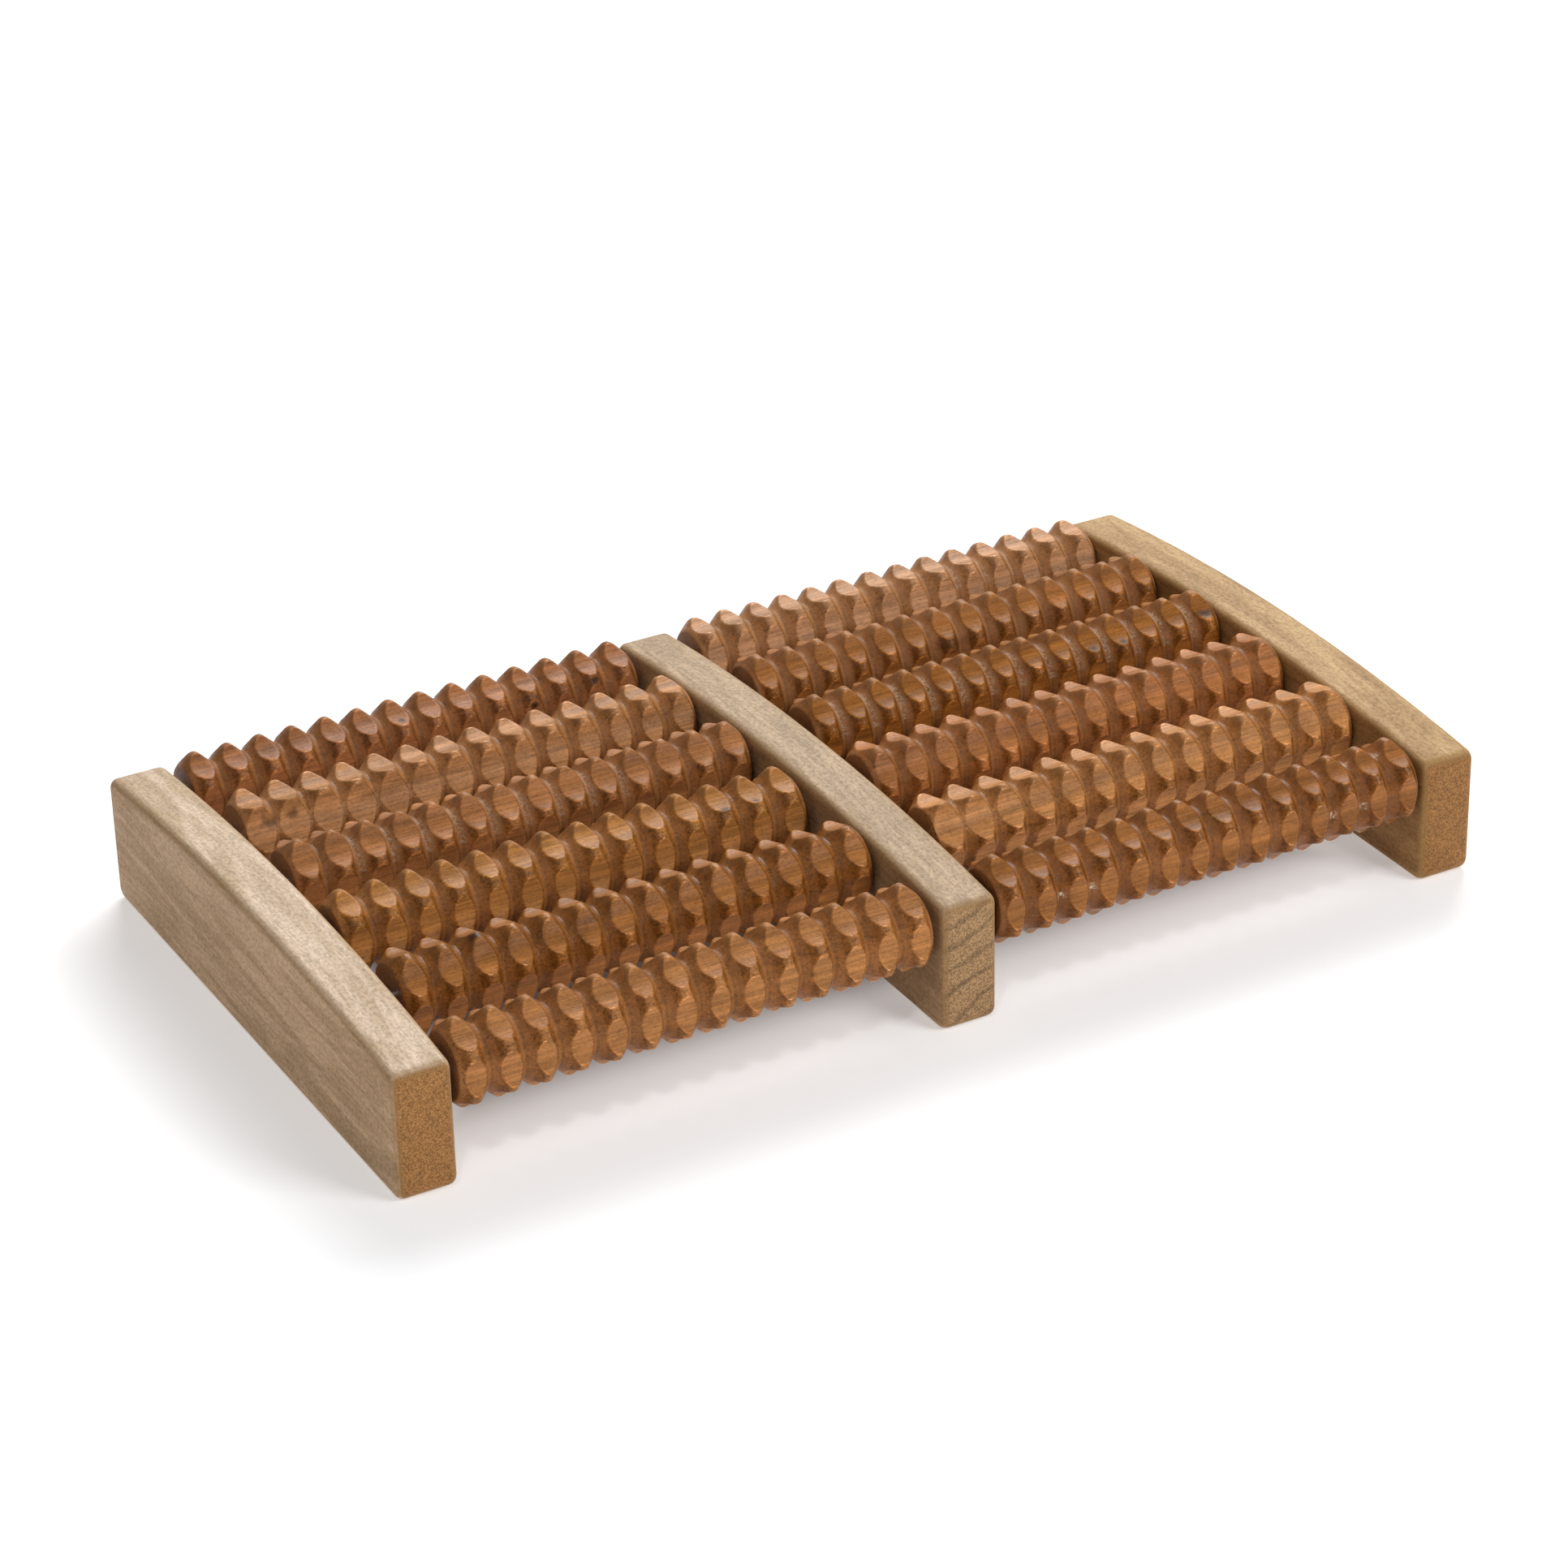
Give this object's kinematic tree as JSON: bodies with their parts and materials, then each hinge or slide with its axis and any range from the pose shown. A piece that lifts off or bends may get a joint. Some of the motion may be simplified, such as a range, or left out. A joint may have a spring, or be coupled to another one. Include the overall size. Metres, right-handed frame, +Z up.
{
  "type": "foot massage roller",
  "caption": "Free-standing foot massager: arched wooden rails carry steel rods, on which ringed and fluted wooden rollers turn freely in two side-by-side banks.",
  "frame": {"origin": "on the table, below the middle of the centre rail: the middle of that rail's flat underside", "axes": "+X along the rods, from the left rail to the right rail; +Y along the rails, from the front row of rollers to the back row; +Z up"},
  "size_m": [0.275, 0.1581, 0.039],
  "materials": {
    "rail_wood": "oiled, fine grain, eased edges",
    "roller_wood": "dark varnish on turned wood",
    "rod_steel": "bright drawn steel"
  },
  "bodies": {
    "frame": {"left_rail": "rail_wood", "centre_rail": "rail_wood", "right_rail": "rail_wood", "rod_1": "rod_steel", "rod_2": "rod_steel", "rod_3": "rod_steel", "rod_4": "rod_steel", "rod_5": "rod_steel", "rod_6": "rod_steel"},
    "left_roller_1": {"left_roller_1": "roller_wood"},
    "left_roller_2": {"left_roller_2": "roller_wood"},
    "left_roller_3": {"left_roller_3": "roller_wood"},
    "left_roller_4": {"left_roller_4": "roller_wood"},
    "left_roller_5": {"left_roller_5": "roller_wood"},
    "left_roller_6": {"left_roller_6": "roller_wood"},
    "right_roller_1": {"right_roller_1": "roller_wood"},
    "right_roller_2": {"right_roller_2": "roller_wood"},
    "right_roller_3": {"right_roller_3": "roller_wood"},
    "right_roller_4": {"right_roller_4": "roller_wood"},
    "right_roller_5": {"right_roller_5": "roller_wood"},
    "right_roller_6": {"right_roller_6": "roller_wood"}
  },
  "joints": [
    {"name": "left_roller_1_spin", "type": "hinge", "parent": "frame", "child": "left_roller_1", "pos_m": [-0.0661, -0.06875, 0.02494], "axis": [1, 0, 0], "continuous": true},
    {"name": "left_roller_2_spin", "type": "hinge", "parent": "frame", "child": "left_roller_2", "pos_m": [-0.0661, -0.04125, 0.02728], "axis": [1, 0, 0], "continuous": true},
    {"name": "left_roller_3_spin", "type": "hinge", "parent": "frame", "child": "left_roller_3", "pos_m": [-0.0661, -0.01375, 0.02845], "axis": [1, 0, 0], "continuous": true},
    {"name": "left_roller_4_spin", "type": "hinge", "parent": "frame", "child": "left_roller_4", "pos_m": [-0.0661, 0.01375, 0.02845], "axis": [1, 0, 0], "continuous": true},
    {"name": "left_roller_5_spin", "type": "hinge", "parent": "frame", "child": "left_roller_5", "pos_m": [-0.0661, 0.04125, 0.02728], "axis": [1, 0, 0], "continuous": true},
    {"name": "left_roller_6_spin", "type": "hinge", "parent": "frame", "child": "left_roller_6", "pos_m": [-0.0661, 0.06875, 0.02494], "axis": [1, 0, 0], "continuous": true},
    {"name": "right_roller_1_spin", "type": "hinge", "parent": "frame", "child": "right_roller_1", "pos_m": [0.0644, -0.06875, 0.02494], "axis": [1, 0, 0], "continuous": true},
    {"name": "right_roller_2_spin", "type": "hinge", "parent": "frame", "child": "right_roller_2", "pos_m": [0.0644, -0.04125, 0.02728], "axis": [1, 0, 0], "continuous": true},
    {"name": "right_roller_3_spin", "type": "hinge", "parent": "frame", "child": "right_roller_3", "pos_m": [0.0644, -0.01375, 0.02845], "axis": [1, 0, 0], "continuous": true},
    {"name": "right_roller_4_spin", "type": "hinge", "parent": "frame", "child": "right_roller_4", "pos_m": [0.0644, 0.01375, 0.02845], "axis": [1, 0, 0], "continuous": true},
    {"name": "right_roller_5_spin", "type": "hinge", "parent": "frame", "child": "right_roller_5", "pos_m": [0.0644, 0.04125, 0.02728], "axis": [1, 0, 0], "continuous": true},
    {"name": "right_roller_6_spin", "type": "hinge", "parent": "frame", "child": "right_roller_6", "pos_m": [0.0644, 0.06875, 0.02494], "axis": [1, 0, 0], "continuous": true}
  ]
}
